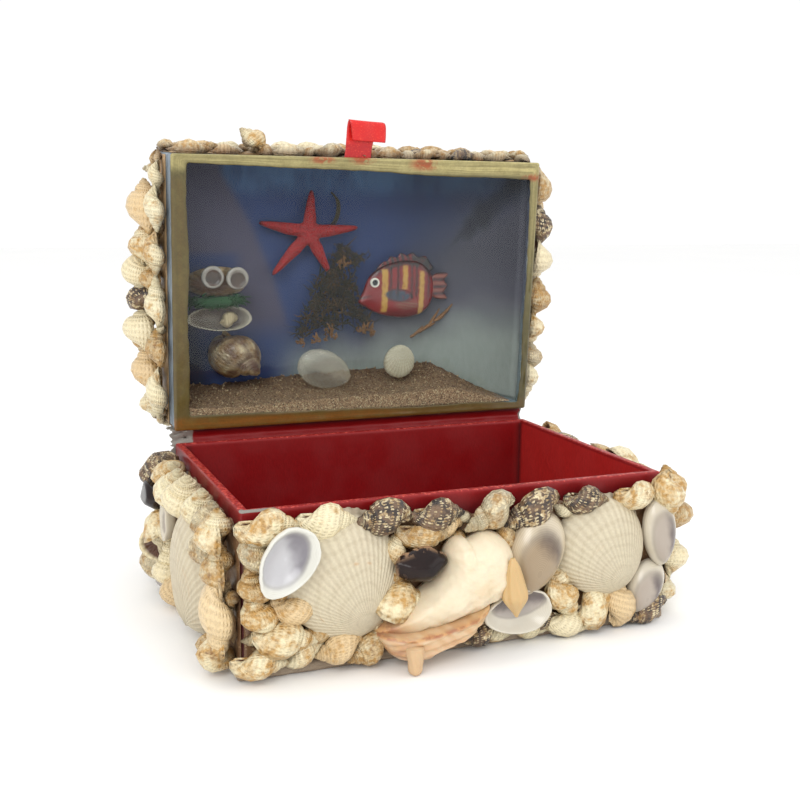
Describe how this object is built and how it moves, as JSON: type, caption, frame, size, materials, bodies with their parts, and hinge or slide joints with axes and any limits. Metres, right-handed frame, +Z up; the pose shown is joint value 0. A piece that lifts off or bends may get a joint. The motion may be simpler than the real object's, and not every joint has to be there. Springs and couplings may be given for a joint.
{
  "type": "shell box",
  "caption": "Hinged keepsake box covered with sea shells. Its open lid is a shallow tray that holds a small underwater scene behind a clear window.",
  "frame": {"origin": "on the table, under the middle of the bottom board", "axes": "+X to the right as seen from the front, +Y towards the hinge at the back, +Z up"},
  "size_m": [0.1786, 0.1617, 0.1747],
  "materials": {
    "grey_board": "matte",
    "red_covered_card": "satin",
    "red_paper": "satin",
    "cream_shell": "satin",
    "white_shell": "satin",
    "dark_shell": "gloss",
    "brown_shell": "satin",
    "blue_grey_card": "matte",
    "clear_plastic": "gloss",
    "olive_tape": "satin",
    "red_ribbon": "satin",
    "blue_card": "matte",
    "sand": "matte",
    "dried_weed": "matte",
    "red_starfish": "matte",
    "red_resin": "satin",
    "white_plastic": "gloss",
    "green_moss": "matte"
  },
  "bodies": {
    "base": {"bottom_board": "grey_board", "base_tray": "red_covered_card", "hinge_paper": "red_paper", "front_shells": "cream_shell", "left_shells": "cream_shell", "right_shells": "cream_shell", "back_shells": "cream_shell", "conch_front": "cream_shell", "cockle_front_left": "white_shell", "cockle_front_right": "white_shell", "limpet_front": "white_shell", "snail_front_dark": "dark_shell", "clam_front_upper": "white_shell", "clam_front_lower": "white_shell", "spindle_front": "cream_shell", "clam_front_right_upper": "white_shell", "clam_front_right_lower": "white_shell", "cockle_left": "white_shell", "snail_left_dark": "dark_shell", "cone_left": "cream_shell", "clam_left_holed": "white_shell", "clam_left_back": "white_shell", "spire_left": "cream_shell", "cockle_right": "white_shell", "spire_right": "cream_shell"},
    "lid": {"lid_tray": "blue_grey_card", "lid_window": "clear_plastic", "window_tape": "olive_tape", "pull_ribbon": "red_ribbon", "lid_left_shells": "cream_shell", "lid_right_shells": "cream_shell", "lid_front_shells": "cream_shell", "lid_back_shells": "cream_shell", "lid_top_shells": "cream_shell", "snail_lid_left_upper": "white_shell", "snail_lid_left_lower": "white_shell", "snail_lid_front": "cream_shell", "cockle_top_centre": "white_shell", "cockle_top_left": "white_shell", "cockle_top_right": "white_shell", "scene_card": "blue_card", "sand_bed": "sand", "dried_weed": "dried_weed", "starfish": "red_starfish", "fish": "red_resin", "fish_eye": "white_plastic", "critter_body": "brown_shell", "critter_jaw": "white_shell", "critter_moss": "green_moss", "critter_head": "brown_shell", "critter_eye_left": "white_plastic", "critter_eye_right": "white_plastic", "white_valve_oval": "white_shell", "white_valve_round": "white_shell"}
  },
  "joints": [
    {"name": "lid_hinge", "type": "hinge", "parent": "base", "child": "lid", "pos_m": [0, 0.0523, 0.0562], "axis": [1, 0, 0], "range_deg": [0, 86.6]}
  ]
}
